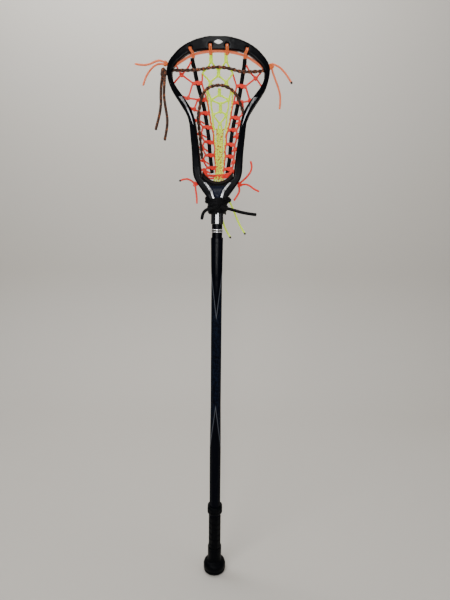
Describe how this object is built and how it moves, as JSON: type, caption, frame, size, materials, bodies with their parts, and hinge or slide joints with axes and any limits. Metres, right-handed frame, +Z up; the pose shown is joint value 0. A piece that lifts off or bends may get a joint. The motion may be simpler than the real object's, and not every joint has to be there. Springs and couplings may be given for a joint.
{
  "type": "lacrosse stick",
  "caption": "Lacrosse stick with a scoop-shaped head, hand-strung pocket on two runners, eight-sided shaft with grips, stop ring and end cap.",
  "frame": {"origin": "middle of the end cap's flat foot, on the shaft's axis", "axes": "+Z up the shaft to the head, -Y out of the open face of the head, +X to the right as seen from that side"},
  "size_m": [0.2768, 0.064, 1.073],
  "materials": {
    "head_plastic": "black moulded nylon, satin to gloss",
    "stop_foam": "dark closed-cell foam",
    "accent_silver": "silver and white metallic film",
    "shaft_black": "black painted alloy tube, glossy",
    "grip_textured": "black grip coat with a fine diagonal texture",
    "grip_wrap": "black wound grip tape",
    "collar_metal": "polished ring",
    "ring_rubber": "black moulded rubber",
    "cap_rubber": "black moulded rubber",
    "screw_steel": "zinc plated",
    "lace_black": "black lace",
    "runner_black": "black flat runner",
    "mesh_yellow": "yellow lime cord",
    "lacing_red": "red and orange cord",
    "string_peach": "peach cord",
    "loop_orange": "orange cord fading to tan",
    "shooter_brown": "dark brown cord with orange flecks"
  },
  "bodies": {
    "stick": {"ball_stop_pad": "stop_foam", "bottom_string": "lacing_red", "butt_wrap": "grip_wrap", "centre_mesh": "mesh_yellow", "head_frame": "head_plastic", "head_screw": "screw_steel", "lower_grip": "grip_textured", "lower_knot_left": "lacing_red", "lower_knot_right": "lacing_red", "lower_tail_left_down": "lacing_red", "lower_tail_left_side": "lacing_red", "lower_tail_right_down": "lacing_red", "lower_tail_right_hook": "lacing_red", "lower_tail_right_side": "lacing_red", "mesh_knot": "mesh_yellow", "mesh_tail_long": "mesh_yellow", "mesh_tail_short": "mesh_yellow", "runner_left": "runner_black", "runner_right": "runner_black", "scoop_loops": "loop_orange", "shaft_collar": "collar_metal", "shaft_tube": "shaft_black", "shooting_knot": "shooter_brown", "shooting_string_lower": "shooter_brown", "shooting_string_upper": "shooter_brown", "shooting_tail_long": "shooter_brown", "shooting_tail_short": "shooter_brown", "side_accent_left": "accent_silver", "side_accent_right": "accent_silver", "side_lacing_left": "lacing_red", "side_lacing_right": "lacing_red", "throat_accent_left": "accent_silver", "throat_accent_right": "accent_silver", "throat_lace": "lace_black", "throat_lace_tail_left": "lace_black", "throat_lace_tail_right": "lace_black", "top_knot_left": "loop_orange", "top_knot_right": "loop_orange", "top_string": "string_peach", "top_tail_left_lower": "loop_orange", "top_tail_left_upper": "loop_orange", "top_tail_right_lower": "loop_orange", "top_tail_right_upper": "loop_orange", "upper_grip": "grip_textured"},
    "end_cap": {"end_cap": "cap_rubber"},
    "stop_ring": {"stop_ring": "ring_rubber"}
  },
  "joints": [
    {"name": "end_cap_pull", "type": "slide", "parent": "stick", "child": "end_cap", "axis": [0, 0, -1], "range_m": [0, 0.07]},
    {"name": "stop_ring_slide", "type": "slide", "parent": "stick", "child": "stop_ring", "axis": [0, 0, 1], "range_m": [0, 0.09]}
  ]
}
